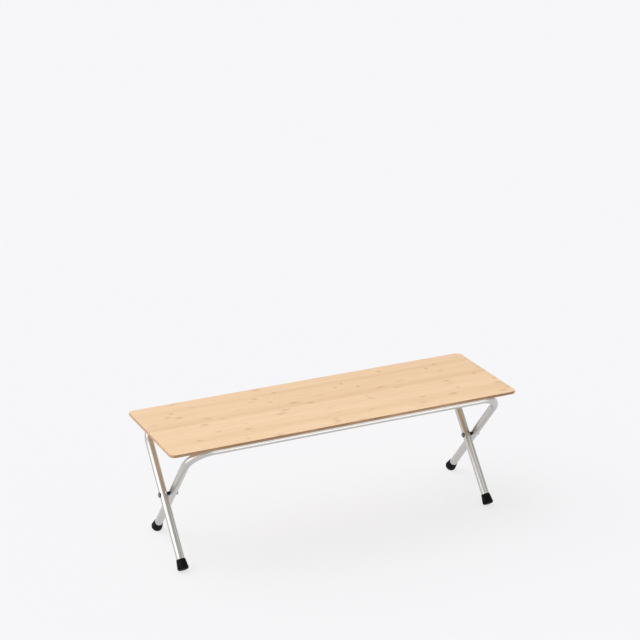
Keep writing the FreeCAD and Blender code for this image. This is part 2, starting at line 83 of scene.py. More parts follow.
# Each leg: which frame it belongs to, its place along X, and which way is outward from its pair
LEGS = {
    ("left", "outer"): ("rear", -HALF_SPAN - HALF_SHIFT, -1),
    ("left", "inner"): ("front", -HALF_SPAN + HALF_SHIFT, 1),
    ("right", "inner"): ("rear", HALF_SPAN - HALF_SHIFT, -1),
    ("right", "outer"): ("front", HALF_SPAN + HALF_SHIFT, 1),
}
FRAME_ANGLE = {"rear": LEG_ANGLE, "front": math.pi - LEG_ANGLE}
FRAME_SHIFT = {"rear": -HALF_SHIFT, "front": HALF_SHIFT}
FRAME_BODY = {"rear": "rear_frame", "front": "front_frame"}
FOOT_END = {"rear": "front", "front": "rear"}

# Edges stay crisp where faces meet at more than this: on most pieces, and on tubes and feet
CREASE = math.radians(40)
TUBE_CREASE = math.radians(50)

# Points nearer than this are one point, and edges shorter than this are dropped
MERGE_DISTANCE = 1e-6
EMPTY_LENGTH = 1e-7

# Insets of the rings that divide the board's two flat faces
BOARD_RINGS = (0.12, 0.06, 0.03)

# How many points make each part of a frame's path
LEG_STEPS = 40
BEND_STEPS = 32
BAR_STEPS = 60

# How dark the board's strips are, as (share of the way from the rear edge to the front, tone)
STRIP_TONES = (
    (0.0, 0.35), (0.13, 0.4), (0.165, 0.85), (0.21, 0.28), (0.28, 0.62), (0.37, 0.42),
    (0.47, 0.95), (0.52, 0.15), (0.62, 0.3), (0.71, 0.0), (0.82, 0.65), (0.89, 0.15), (1.0, 0.0))

# How fine each pattern is, in cycles a metre along X, Y and Z. The tube's lines are counted
# along the tube and round it.
FIBRE = (7.0, 620.0, 620.0)
STREAKS = (1.3, 34.0, 34.0)
KNUCKLE_FIBRE = (150.0, 420.0, 420.0)
EDGE_PORES = (260.0, 260.0, 900.0)
EDGE_PATCHES = (9.0, 9.0, 1.0)
TUBE_LINES = (1.2, 900.0, 1.0)
TUBE_PATCHES = (60.0, 60.0, 60.0)
STEEL_PATCHES = (350.0, 350.0, 350.0)
DUST = (90.0, 90.0, 90.0)
PAPER_MOTTLE = (0.7, 0.7, 0.7)

# Half the length of the paper, and the way the key light shines with its spread in degrees
PAPER_REACH = 40.0
KEY_HEADING = (0.5, -0.35, -0.8)
KEY_SPREAD = 60

# Parts of the sky: the middle of each cone, and the cosines of the angles from that middle at
# which the cone begins and is full
SKY_UNLIT = ((0.45, -0.62, 0.64), 0.05, 0.5)
SKY_WINDOW = ((-0.875, -0.234, 0.42), 0.64, 0.9)
SKY_STRIP = ((0.4, -0.9, -0.12), 0.85, 0.97)

# Soft panels that show only in reflections: place, the point that each faces, its roll in
# degrees, its width and height, and its strength
PANELS = {
    "floor_panel": ((0.42, -0.95, 0.02), (0.42, -0.95, 1.0), 0, (1.25, 0.75), 1.25),
    "left_panel": ((-1.242, -0.1, 0.44), (-0.552, 0.08, 0.11), 35, (0.95, 0.43), 1.15),
    "right_panel": ((0.57, -0.6, 0.74), (-0.1, -0.1, 0.15), 0, (0.45, 0.45), 0.6),
}

# The photograph's camera, fitted to the board's corners, the legs and the feet. Angles are in
# radians, distances in metres, and the sensor's width is in millimetres.
CAMERA_YAW = 0.445041
CAMERA_PITCH = 0.351510
CAMERA_ROLL = 0.000579
CAMERA_FOCUS_PIXELS = 1855.384
CAMERA_DISTANCE = 5.500998
CAMERA_AIM_LEVEL = 0.2
CAMERA_RIGHT = -0.014158
CAMERA_UP = 0.404706
IMAGE_PIXELS = 640
SENSOR_WIDTH = 36.0


class BoardSettings(bpy.types.PropertyGroup):
    """Sizes and colours of the laminated board."""
    corner: FloatProperty(
        name="Corner radius", description="Radius of the board's corners seen from above",
        default=0.018, min=0.002, unit="LENGTH")
    edge_round: FloatProperty(
        name="Edge rounding", description="Radius of the rounding along the top and bottom edges",
        default=0.0015, min=0.0002, unit="LENGTH")
    strip_width: FloatProperty(
        name="Strip width", description="Width of one bamboo strip in the face layer",
        default=0.0195, min=0.005, unit="LENGTH")
    knuckle_spacing: FloatProperty(
        name="Knuckle spacing", description="Distance between two knuckles of one strip",
        default=0.27, min=0.05, unit="LENGTH")
    layer: FloatProperty(
        name="Layer", description="Thickness of one layer of the lamination",
        default=0.0027, min=0.0005, unit="LENGTH")
    pale_colour: FloatVectorProperty(
        name="Pale strips", description="Colour of the palest bamboo strips",
        default=(0.895, 0.624, 0.379), size=3, subtype="COLOR", min=0.0, max=1.0)
    warm_colour: FloatVectorProperty(
        name="Warm strips", description="Colour of the darkest bamboo strips",
        default=(0.77, 0.507, 0.277), size=3, subtype="COLOR", min=0.0, max=1.0)
    joint_colour: FloatVectorProperty(
        name="Knuckles", description="Colour of the short marks left by the stalk's joints",
        default=(0.46, 0.225, 0.092), size=3, subtype="COLOR", min=0.0, max=1.0)
    edge_colour: FloatVectorProperty(
        name="Sawn edge", description="Colour of the sawn and sealed edge",
        default=(0.33, 0.183, 0.08), size=3, subtype="COLOR", min=0.0, max=1.0)


class TubeSettings(bpy.types.PropertyGroup):
    """Sizes and finish of the two tube frames."""
    bend_radius: FloatProperty(
        name="Bend radius", description="Radius of each bend, measured to the tube's middle",
        default=0.07, min=0.03, unit="LENGTH")
    wall: FloatProperty(
        name="Wall", description="Thickness of the tube's wall",
        default=0.0015, min=0.0005, unit="LENGTH")
    steps_around: IntProperty(
        name="Steps around", description="Number of faces round the tube", default=64, min=16)
    colour: FloatVectorProperty(
        name="Metal", description="Colour of the bright anodised metal",
        default=(0.565, 0.555, 0.53), size=3, subtype="COLOR", min=0.0, max=1.0)
    roughness: FloatProperty(
        name="Roughness", description="How far the metal spreads its reflections",
        default=0.21, min=0.02, max=1.0, subtype="FACTOR")


class FootSettings(bpy.types.PropertyGroup):
    """Sizes and colour of the rubber feet."""
    bottom_radius: FloatProperty(
        name="Bottom radius", description="Radius of a foot near the floor",
        default=0.0165, min=0.013, unit="LENGTH")
    top_radius: FloatProperty(
        name="Top radius", description="Radius of a foot at its upper lip",
        default=0.0134, min=0.0125, unit="LENGTH")
    height: FloatProperty(
        name="Height", description="Length of a foot along its leg",
        default=0.031, min=0.02, unit="LENGTH")
    rounding: FloatProperty(
        name="Bottom rounding", description="Radius of the rounding round the sole",
        default=0.005, min=0.001, unit="LENGTH")
    sole: FloatProperty(
        name="Sole", description="Thickness of rubber under the tube's end",
        default=0.008, min=0.002, unit="LENGTH")
    ground_flat: FloatProperty(
        name="Flat", description="Depth of rubber worn away where the foot meets the floor",
        default=0.0006, min=0.0, unit="LENGTH")
    colour: FloatVectorProperty(
        name="Rubber", description="Colour of the rubber",
        default=(0.0015, 0.0015, 0.0018), size=3, subtype="COLOR", min=0.0, max=1.0)


class PivotSettings(bpy.types.PropertyGroup):
    """Sizes of the rivets, washers and spacers at the pivots, and colours of all fittings."""
    shank_radius: FloatProperty(
        name="Shank radius", description="Radius of the rivet's shank",
        default=0.003, min=0.001, unit="LENGTH")
    head_radius: FloatProperty(
        name="Head radius", description="Radius of the rivet's domed head",
        default=0.0062, min=0.003, unit="LENGTH")
    head_height: FloatProperty(
        name="Head height", description="Height of the rivet's domed head",
        default=0.0036, min=0.001, unit="LENGTH")
    washer_radius: FloatProperty(
        name="Washer radius", description="Radius of the steel saddle washer under each head",
        default=0.00775, min=0.004, unit="LENGTH")
    washer_thickness: FloatProperty(
        name="Washer thickness", description="Least thickness of the washer, over the tube's crown",
        default=0.0012, min=0.0005, unit="LENGTH")
    spacer_radius: FloatProperty(
        name="Spacer radius", description="Radius of the plastic spacer between two legs",
        default=0.00575, min=0.004, unit="LENGTH")
    clearance: FloatProperty(
        name="Clearance", description="Free space left round the shank",
        default=0.00006, min=0.0, unit="LENGTH")
    plastic_colour: FloatVectorProperty(
        name="Plastic", description="Colour of the moulded plastic",
        default=(0.02, 0.02, 0.021), size=3, subtype="COLOR", min=0.0, max=1.0)
    steel_colour: FloatVectorProperty(
        name="Rivet steel", description="Colour of the rivets' plated steel",
        default=(0.27, 0.265, 0.26), size=3, subtype="COLOR", min=0.0, max=1.0)
    screw_colour: FloatVectorProperty(
        name="Screw steel", description="Colour of the plated screws and the feet's discs",
        default=(0.56, 0.55, 0.52), size=3, subtype="COLOR", min=0.0, max=1.0)
    catch_colour: FloatVectorProperty(
        name="Catch steel", description="Colour of the plated catches",
        default=(0.62, 0.61, 0.59), size=3, subtype="COLOR", min=0.0, max=1.0)


class StageSettings(bpy.types.PropertyGroup):
    """The paper floor and the lamps."""
    paper_colour: FloatVectorProperty(
        name="Paper", description="Colour of the paper floor",
        default=(0.2, 0.2, 0.204), size=3, subtype="COLOR", min=0.0, max=1.0)
    paper_glow: FloatProperty(
        name="Paper glow", description="Light that the translucent paper passes from below",
        default=0.714, min=0.0)
    glow_colour: FloatVectorProperty(
        name="Glow colour", description="Colour of the light that comes through the paper",
        default=(1.0, 1.0, 1.018), size=3, subtype="COLOR", min=0.0)
    key_strength: FloatProperty(
        name="Key light", description="Strength of the broad light from above, behind and left",
        default=1.42, min=0.0)
    window_strength: FloatProperty(
        name="Left window", description="Extra strength of the soft light at the left",
        default=0.25, min=0.0)
    sky_strength: FloatProperty(
        name="Sky", description="Strength of the soft light from all round", default=0.81, min=0.0)
    strip_strength: FloatProperty(
        name="Front strip", description="Extra strength of the low soft light in front",
        default=1.2, min=0.0)
    dark_side: FloatProperty(
        name="Dark side", description="How bright the studio's unlit side is against its lit side",
        default=0.74, min=0.0, max=1.0, subtype="FACTOR")


def full_turn(steps):
    """Angles at even steps round a circle, from 0 to just short of a full turn."""
    return np.linspace(0.0, 2 * math.pi, steps, endpoint=False)


def grid_faces(rows, columns, wrap_rows=False, wrap_columns=True):
    """Corner numbers of the four-sided faces between neighbouring rows and columns of a grid."""
    row = np.arange(rows if wrap_rows else rows - 1)[:, None]
    column = np.arange(columns if wrap_columns else columns - 1)[None, :]
    after_row, after_column = (row + 1) % rows, (column + 1) % columns
    corners = [
        row * columns + column, row * columns + after_column,
        after_row * columns + after_column, after_row * columns + column]
    return np.stack([corner.ravel() for corner in corners], axis=1)


def new_piece(name, points, faces, body, materials, crease, uv=None, material_rows=None):
    """A mesh object at the origin from an array of points and one of four-sided faces.
    Points that meet are merged, so poles and seams are closed."""
    mesh = bpy.data.meshes.new(name)
    mesh.from_pydata(points.reshape(-1, 3).tolist(), [], faces.tolist())
    if uv is not None:
        layer = mesh.uv_layers.new(name="along")
        layer.data.foreach_set("uv", uv.reshape(-1, 2)[faces.ravel()].astype(np.float32).ravel())
    for material in materials:
        mesh.materials.append(material)
    if material_rows is not None:
        mesh.polygons.foreach_set("material_index", material_rows.astype(np.int32).ravel())
    mesh.polygons.foreach_set("use_smooth", np.ones(len(mesh.polygons), dtype=bool))
    mesh.update()
    close_mesh(mesh, crease)
    piece = bpy.data.objects.new(name, mesh)
    bpy.context.scene.collection.objects.link(piece)
    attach(piece, body)
    return piece


def close_mesh(mesh, crease):
    """Merge points that meet, drop empty faces, turn every face outward and mark sharp edges."""
    work = bmesh.new()
    work.from_mesh(mesh)
    bmesh.ops.remove_doubles(work, verts=work.verts, dist=MERGE_DISTANCE)
    bmesh.ops.dissolve_degenerate(work, edges=work.edges, dist=EMPTY_LENGTH)
    bmesh.ops.recalc_face_normals(work, faces=work.faces)
    for edge in work.edges:
        if len(edge.link_faces) == 2 and edge.calc_face_angle(0.0) > crease:
            edge.smooth = False
    work.to_mesh(mesh)
    work.free()


def revolve_profile(profile, steps):
    """A surface of revolution about +Z: each (radius, height) of the profile is carried round a
    circle, x = radius cos a and y = radius sin a, for a from 0 to a full turn."""
    angle = full_turn(steps)
    radius, height = profile[:, 0][:, None], profile[:, 1][:, None]
    return np.stack([
        radius * np.cos(angle), radius * np.sin(angle), height + 0.0 * angle], axis=-1)


def arc_points(centre, radius, start, stop, steps):
    """Points on an arc: centre plus radius times (cos a, sin a), a from start to stop degrees."""
    angle = np.radians(np.linspace(start, stop, steps))
    return np.stack([
        centre[0] + radius * np.cos(angle), centre[1] + radius * np.sin(angle)], axis=1)


def move_points(points, matrix):
    """Carry an array of points through a 4 by 4 matrix."""
    turn = np.array(matrix.to_3x3())
    shift = np.array(matrix.to_translation())
    return points @ turn.T + shift


def leg_matrix(frame_name, x, reach):
    """From a piece drawn up +Z to its place on a leg: its base at a distance down the leg from the
    pivot and its +Z pointing up the leg."""
    angle = FRAME_ANGLE[frame_name]
    foot = Vector((x, -reach * math.cos(angle), PIVOT_LEVEL - reach * math.sin(angle)))
    return Matrix.Translation(foot) @ Matrix.Rotation(angle - math.pi / 2, 4, "X")


def across_pivot(x):
    """From a piece drawn up +Z to its place at the pivots' level, with its +Z along +X."""
    return Matrix.Translation((x, 0.0, PIVOT_LEVEL)) @ Matrix.Rotation(math.pi / 2, 4, "Y")


def rgb(colour):
    """A property's colour as a plain tuple."""
    return tuple(colour)[:3]


def shade(colour, share):
    """A share of a colour's light."""
    return tuple(share * part for part in colour)


class Nodes:
    """A node tree being put together, with short calls for its nodes and links."""

    def __init__(self, tree):
        self.tree = tree

    def add(self, kind, inputs=None, **settings):
        """A node of a kind, with its settings and with each input linked or set."""
        node = self.tree.nodes.new(kind)
        for key, value in settings.items():
            setattr(node, key, value)
        for key, value in (inputs or {}).items():
            self.feed(node.inputs[key], value)
        return node

    def feed(self, socket, value):
        """Link an output to a socket, or set the socket to a constant. A colour is opaque."""
        if isinstance(value, bpy.types.NodeSocket):
            self.tree.links.new(value, socket)
        else:
            socket.default_value = (*value, 1.0) if socket.type == "RGBA" else value

    def calc(self, operation, *values):
        """A maths node's result."""
        return self.add("ShaderNodeMath", dict(enumerate(values)), operation=operation).outputs[0]

    def total(self, start, *parts):
        """A start value plus each (value, share) as the value times its share."""
        for value, share in parts:
            start = self.calc("MULTIPLY_ADD", value, share, start)
        return start

    def ease(self, value, low=0.0, high=1.0):
        """From 0 at a low value to 1 at a high one with no slope at either end, held beyond."""
        return self.add(
            "ShaderNodeMapRange", {0: value, 1: low, 2: high},
            interpolation_type="SMOOTHSTEP").outputs[0]


class Recipe(Nodes):
    """A material being put together round one shader."""

    def __init__(self, name):
        self.material = bpy.data.materials.get(name) or bpy.data.materials.new(name)
        self.material.use_nodes = True
        super().__init__(self.material.node_tree)
        self.tree.nodes.clear()
        self.shader = self.add("ShaderNodeBsdfPrincipled")
        self.add("ShaderNodeOutputMaterial", {"Surface": self.shader.outputs["BSDF"]})

    def place(self):
        """Object coordinates as three values along X, Y and Z."""
        place = self.add("ShaderNodeTexCoord").outputs["Object"]
        return self.add("ShaderNodeSeparateXYZ", {0: place}).outputs

    def noise(self, vector, scale, detail, roughness=0.5):
        """Noise from 0 to 1 at a position."""
        settings = {"Vector": vector, "Scale": scale, "Detail": detail, "Roughness": roughness}
        return self.add("ShaderNodeTexNoise", settings).outputs[0]

    def pattern(self, cycles, detail=2.0, roughness=0.5, shift=(0.0, 0.0, 0.0), source="Object"):
        """Noise with so many cycles a metre along each axis, on Object or UV coordinates."""
        place = self.add("ShaderNodeTexCoord").outputs[source]
        place = self.add("ShaderNodeMapping", {0: place, 1: shift, 3: cycles}).outputs[0]
        return self.noise(place, 1.0, detail, roughness)

    def scatter(self, number):
        """A random value from 0 to 1 for each number."""
        return self.add("ShaderNodeTexWhiteNoise", {"W": number}, noise_dimensions="1D").outputs[0]

    def ramp(self, factor, *stops):
        """A grey ramp through (position, grey) stops."""
        node = self.add("ShaderNodeValToRGB", {0: factor})
        elements = node.color_ramp.elements
        while len(elements) < len(stops):
            elements.new(1.0)
        for element, (place, grey) in zip(elements, stops):
            element.position = place
            element.color = (grey, grey, grey, 1.0)
        return node.outputs[0]

    def mix(self, factor, first, second):
        """Two colours mixed by a factor."""
        settings = {0: factor, 6: first, 7: second}
        return self.add("ShaderNodeMix", settings, data_type="RGBA").outputs[2]

    def bump(self, height, strength, distance):
        """A bump of the surface's normal from a height."""
        node = self.add(
            "ShaderNodeBump", {"Height": height, "Strength": strength, "Distance": distance})
        self.feed(self.shader.inputs["Normal"], node.outputs[0])

    def set(self, **values):
        """Set the shader's own sockets. An underscore stands for a space."""
        for key, value in values.items():
            self.feed(self.shader.inputs[key.replace("_", " ")], value)


def bamboo_face():
    """Pale laminated bamboo under a satin coat: long strips that differ a little in tone, fine
    fibre along them, short dark knuckles scattered from strip to strip, and painted light that
    makes the board paler toward the left."""
    board = bpy.context.scene.bench_board
    pale, warm, dark = rgb(board.pale_colour), rgb(board.warm_colour), rgb(board.joint_colour)
    recipe = Recipe("bamboo_face")
    along, across, level = recipe.place()
    # Strips are numbered across the board, and the top's numbers stand apart from the underside's
    first_edge, top_numbers = 0.0043, 37.0
    on_top = recipe.calc("GREATER_THAN", level, BOARD_MIDDLE)
    strip_place = recipe.calc("DIVIDE", recipe.calc("ADD", across, first_edge), board.strip_width)
    within = recipe.calc("FRACT", strip_place)
    strip = recipe.total(recipe.calc("FLOOR", strip_place), (on_top, top_numbers))
    strip_tone = recipe.scatter(strip)
    # Long lengths of one strip drift slowly in tone, and each strip drifts in its own way
    drift_cycles, drift_apart = 2.2, 3.7
    drift_place = recipe.add("ShaderNodeCombineXYZ", {
        0: recipe.calc("MULTIPLY", along, drift_cycles),
        1: recipe.calc("MULTIPLY", strip, drift_apart)}).outputs[0]
    drift = recipe.noise(drift_place, scale=1.0, detail=2.0)
    depth = recipe.calc("DIVIDE", recipe.calc("SUBTRACT", float(SEAT_HIGH[1]), across), BOARD_DEPTH)
    # The tone adds the board's bands, each strip's own, its drift and a slope along the board. The
    # slope is
    #     # painted light: the board is paler toward the left, where the light falls, and darker
    #     toward the right.
    palest = -0.42
    tone = recipe.total(
        palest, (recipe.ramp(depth, *STRIP_TONES), 1.0), (strip_tone, 0.2), (drift, 0.5),
        (along, 0.36))
    base = recipe.mix(tone, pale, warm)
    # Fibre: noise drawn out along the strips, and wider streaks a few strips wide
    fibre = recipe.pattern(FIBRE, detail=3.0, roughness=0.6)
    base = recipe.mix(recipe.ramp(fibre, (0.42, 0.0), (0.72, 0.26)), base, dark)
    streak = recipe.pattern(STREAKS, shift=(3.1, 0.0, 0.0))
    base = recipe.mix(recipe.ramp(streak, (0.48, 0.0), (0.72, 0.22)), base, warm)
    # Knuckles come at even distances on each strip, each strip's set off at random. Each knuckle
    # has a random length, place across its strip and depth of tone.
    offset = recipe.calc("MULTIPLY", strip_tone, 5.13)
    wander = recipe.calc("MULTIPLY", recipe.noise(drift_place, scale=0.37, detail=0.0), 0.5)
    stalk = recipe.calc(
        "ADD", recipe.calc("DIVIDE", along, board.knuckle_spacing),
        recipe.calc("ADD", offset, wander))
    from_knuckle = recipe.calc(
        "ABSOLUTE", recipe.calc("SUBTRACT", recipe.calc("FRACT", stalk), 0.5))
    stalk_place = recipe.add(
        "ShaderNodeCombineXYZ", {0: recipe.calc("FLOOR", stalk), 1: strip}).outputs[0]
    chosen = recipe.add(
        "ShaderNodeTexWhiteNoise", {"Vector": stalk_place}, noise_dimensions="3D").outputs[0]
    length = recipe.total(0.03, (chosen, 0.06))
    near = recipe.ease(recipe.calc("SUBTRACT", 1.0, recipe.calc("DIVIDE", from_knuckle, length)))
    middle = recipe.total(0.35, (chosen, 0.3))
    beside = recipe.calc("ABSOLUTE", recipe.calc("SUBTRACT", within, middle))
    narrow = recipe.ease(recipe.calc("SUBTRACT", 1.0, recipe.calc("DIVIDE", beside, 0.5)))
    depth_noise = recipe.noise(stalk_place, scale=23.7, detail=0.0)
    deep = recipe.add("ShaderNodeMapRange", {0: depth_noise, 1: 0.33, 2: 0.62}).outputs[0]
    shown = recipe.calc("MULTIPLY", deep, narrow)
    ragged = recipe.pattern(KNUCKLE_FIBRE)
    knuckle = recipe.calc("MULTIPLY", recipe.calc("MULTIPLY", near, shown), ragged)
    base = recipe.mix(recipe.calc("MULTIPLY", knuckle, 1.1), base, dark)
    # A thin glue line between strips
    from_middle = recipe.calc("ABSOLUTE", recipe.calc("SUBTRACT", within, 0.5))
    glue = recipe.ramp(from_middle, (0.478, 0.0), (0.497, 0.2))
    base = recipe.mix(glue, base, dark)
    recipe.set(Base_Color=base, Coat_Weight=0.25, Coat_Roughness=0.22, Coat_IOR=1.45)
    recipe.set(Roughness=recipe.ramp(fibre, (0.3, 0.4), (0.8, 0.5)))
    height = recipe.calc("SUBTRACT", fibre, recipe.calc("MULTIPLY", glue, 3.0))
    recipe.bump(height, strength=0.12, distance=0.0002)
    return recipe.material


def bamboo_edge():
    """The board's sawn edge: darker than the face, with thin layers one over another, sealed."""
    board = bpy.context.scene.bench_board
    edge, warm = rgb(board.edge_colour), rgb(board.warm_colour)
    dark = shade(edge, 0.62)
    recipe = Recipe("bamboo_edge")
    along, _, level = recipe.place()
    above = recipe.calc("SUBTRACT", level, float(SEAT_LOW[2]))
    layer = recipe.calc("FLOOR", recipe.calc("DIVIDE", above, board.layer))
    base = recipe.mix(recipe.calc("MULTIPLY", recipe.scatter(layer), 0.5), edge, dark)
    pores = recipe.pattern(EDGE_PORES, detail=3.0, roughness=0.6)
    base = recipe.mix(recipe.ramp(pores, (0.5, 0.0), (0.8, 0.6)), base, dark)
    patches = recipe.pattern(EDGE_PATCHES)
    base = recipe.mix(recipe.ramp(patches, (0.45, 0.0), (0.75, 0.35)), base, warm)
    # Painted light: the two short ends are painted paler toward the warm colour, standing in for
    # the light on the lit left end
    toward_end = recipe.calc("SUBTRACT", recipe.calc("ABSOLUTE", along), float(SEAT_HIGH[0]))
    paler_ends_painted_light = recipe.ease(recipe.total(1.0, (toward_end, 1.0 / board.corner)))
    base = recipe.mix(recipe.calc("MULTIPLY", paler_ends_painted_light, 0.42), base, warm)
    recipe.set(Base_Color=base, Roughness=0.5, Coat_Weight=0.15, Coat_Roughness=0.3)
    recipe.bump(pores, strength=0.2, distance=0.0002)
    return recipe.material


def bright_tube():
    """Bright anodised metal with faint drawing lines along the tube and small uneven patches."""
    tube = bpy.context.scene.bench_tube
    colour, spread = rgb(tube.colour), 0.08
    recipe = Recipe("bright_tube")
    lines = recipe.pattern(TUBE_LINES, source="UV")
    patches = recipe.pattern(TUBE_PATCHES, detail=3.0, roughness=0.6)
    base = recipe.mix(recipe.ramp(patches, (0.35, 0.0), (0.75, 0.5)), colour, shade(colour, 0.9))
    uneven = recipe.calc("ADD", lines, patches)
    recipe.set(Base_Color=base, Metallic=1.0)
    recipe.set(Roughness=recipe.total(tube.roughness - spread, (uneven, spread)))
    recipe.bump(lines, strength=0.05, distance=0.0001)
    return recipe.material


def plated_steel(name, colour, roughness):
    """Plated steel with a slightly uneven sheen."""
    spread = 0.14
    recipe = Recipe(name)
    patches = recipe.pattern(STEEL_PATCHES, detail=3.0, roughness=0.6)
    base = recipe.mix(recipe.ramp(patches, (0.35, 0.0), (0.8, 0.8)), colour, shade(colour, 0.78))
    recipe.set(Base_Color=base, Metallic=1.0)
    recipe.set(Roughness=recipe.total(roughness - spread / 2, (patches, spread)))
    recipe.bump(patches, strength=0.06, distance=0.0001)
    return recipe.material


def moulded_plastic(name, colour, roughness, grain):
    """Moulded black plastic or rubber: a fine spark grain of so many cycles a metre, greyed a
    little where dust lies."""
    spread, dust_light = 0.2, 0.012
    recipe = Recipe(name)
    fine = recipe.pattern((grain, grain, grain), detail=3.0, roughness=0.65)
    dust = recipe.pattern(DUST, detail=3.0, roughness=0.55)
    dusty = tuple(part + dust_light for part in colour)
    base = recipe.mix(recipe.ramp(dust, (0.45, 0.0), (0.8, 0.5)), colour, dusty)
    recipe.set(Base_Color=base, Specular_IOR_Level=0.12)
    recipe.set(Roughness=recipe.total(roughness - spread / 2, (fine, spread)))
    recipe.bump(fine, strength=0.25, distance=0.0002)
    return recipe.material


def black_rubber():
    """Matt black rubber of the feet."""
    colour = rgb(bpy.context.scene.bench_foot.colour)
    return moulded_plastic("black_rubber", colour, roughness=0.62, grain=900.0)


def black_plastic():
    """Moulded black plastic of the spacers and clamps."""
    colour = rgb(bpy.context.scene.bench_pivot.plastic_colour)
    return moulded_plastic("black_plastic", colour, roughness=0.45, grain=1300.0)


def white_paper(settings):
    """Matt translucent paper, a little uneven, that glows with the light from below it."""
    colour = rgb(settings.paper_colour)
    recipe = Recipe("paper")
    mottle = recipe.pattern(PAPER_MOTTLE)
    recipe.set(Base_Color=recipe.mix(mottle, colour, shade(colour, 0.985)))
    recipe.set(Roughness=0.9, Specular_IOR_Level=0.0)
    recipe.set(Emission_Color=rgb(settings.glow_colour), Emission_Strength=settings.paper_glow)
    return recipe.material


def dress_nodes(names, material):
    """Give CAD nodes a material in place of their own."""
    for name in names:
        node = NODES[name]
        node.data.materials.clear()
        node.data.materials.append(material)


class BENCH_OT_board(bpy.types.Operator):
    """Make the laminated seat board"""
    bl_idname = "bench.board"
    bl_label = "Seat board"

    def execute(self, context):
        """The board is a rounded rectangle's outline drawn in by a growing inset while the height
        follows the board's half profile: up the middle of the underside, round the edge and back
        over the top to the middle line. A point at inset d on the outline's straight or arc is the
        arc centre plus (corner less d) along the outline's normal, and once d passes the corner
        radius the centre itself moves in."""
        board = context.scene.bench_board
        half_x, half_y = SEAT_HIGH[0], SEAT_HIGH[1]
        low, high = SEAT_LOW[2], SEAT_HIGH[2]
        corner_steps, edge_steps = 12, 7
        quarter = np.repeat(np.arange(4), corner_steps)
        turn = np.radians(np.concatenate([
            np.linspace(90.0 * part, 90.0 * (part + 1), corner_steps) for part in range(4)]))
        sign_x = np.where((quarter == 0) | (quarter == 3), 1.0, -1.0)
        sign_y = np.where(quarter < 2, 1.0, -1.0)
        edge = board.edge_round
        rounding = arc_points((edge, low + edge), edge, 270, 180, edge_steps)
        rounding_top = arc_points((edge, high - edge), edge, 180, 90, edge_steps)
        flat = np.array([half_y, *BOARD_RINGS, board.corner])
        under = np.stack([flat, np.full(len(flat), low)], axis=1)
        over = np.stack([flat[::-1], np.full(len(flat), high)], axis=1)
        profile = np.concatenate([under, rounding, rounding_top, over])
        inset, height = profile[:, 0][:, None], profile[:, 1][:, None]
        arc = np.maximum(board.corner - inset, 0.0)
        centre_inset = np.maximum(inset, board.corner)
        points = np.stack([
            sign_x * (half_x - centre_inset) + arc * np.cos(turn),
            sign_y * (half_y - centre_inset) + arc * np.sin(turn),
            height + 0.0 * turn], axis=-1)
        row = np.arange(len(profile) - 1)
        on_rim = (row >= len(flat)) & (row < len(profile) - len(flat) - 1)
        piece = new_piece(
            "seat_panel", points, grid_faces(len(profile), len(turn)), "seat",
            (bamboo_face(), bamboo_edge()), CREASE, material_rows=np.repeat(on_rim, len(turn)))
        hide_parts("seat_board")
        return {"FINISHED"}


class BENCH_OT_tubes(bpy.types.Operator):
    """Make the two bent tube frames"""
    bl_idname = "bench.tubes"
    bl_label = "Tube frames"

    def execute(self, context):
        """Each frame is a circle carried along a U in its own plane. A point is the path's point
        plus radius times (cos b times the path's normal, sin b square to the plane). The outer
        skin runs one way along the path and the inner skin comes back at the inner radius, and
        the two are joined at both open ends."""
        tube = context.scene.bench_tube
        foot = context.scene.bench_foot
        path = frame_path(foot_reach(foot) - foot.sole - SOLE_DISC, tube.bend_radius)
        heading = np.gradient(path, axis=0)
        heading /= np.linalg.norm(heading, axis=1, keepdims=True)
        normal = np.stack([-heading[:, 1], heading[:, 0]], axis=1)
        steps = np.linalg.norm(np.diff(path, axis=0), axis=1)
        run = np.concatenate([[0.0], np.cumsum(steps)])
        line = np.concatenate([path, path[::-1]])[:, None, :]
        across = np.concatenate([normal, normal[::-1]])[:, None, :]
        distance = np.concatenate([run, run[::-1]])[:, None]
        radius = np.repeat([TUBE_RADIUS, TUBE_RADIUS - tube.wall], len(path))[:, None]
        around = full_turn(tube.steps_around)
        swing = radius * np.cos(around)
        points = np.stack([
            line[..., 0] + swing * across[..., 0], line[..., 1] + swing * across[..., 1],
            radius * np.sin(around)], axis=-1)
        way_round = around / (2 * math.pi) * TUBE_GIRTH
        uv = np.stack(np.broadcast_arrays(distance, way_round), axis=-1)
        faces = grid_faces(len(points), len(around), wrap_rows=True)
        material = bright_tube()
        for name in ("rear", "front"):
            matrix = (Matrix.Translation((FRAME_SHIFT[name], 0.0, PIVOT_LEVEL))
                      @ Matrix.Rotation(FRAME_ANGLE[name], 4, "X"))
            piece = new_piece(
                name + "_tube", move_points(points, matrix), faces, FRAME_BODY[name],
                (material,), TUBE_CREASE, uv=uv)
            drill_pivot(piece, name, context.scene.bench_pivot)
            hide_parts(name + "_bar_frame")
        return {"FINISHED"}


def frame_path(end, bend):
    """The middle line of a frame's tube, in its own plane with the pivots' line at height zero:
    up the left leg from its end, round a quarter circle of the bend's radius, along the bar, round
    a second quarter and down the right leg."""
    side, top = HALF_SPAN, BAR_REACH
    leg = np.linspace(-end, top - bend, LEG_STEPS)
    bar = np.linspace(-side + bend, side - bend, BAR_STEPS)
    return np.concatenate([
        np.stack([np.full(LEG_STEPS, -side), leg], axis=1),
        arc_points((-side + bend, top - bend), bend, 180, 90, BEND_STEPS)[1:],
        np.stack([bar, np.full(BAR_STEPS, top)], axis=1)[1:],
        arc_points((side - bend, top - bend), bend, 90, 0, BEND_STEPS)[1:],
        np.stack([np.full(LEG_STEPS, side), leg[::-1]], axis=1)[1:]])


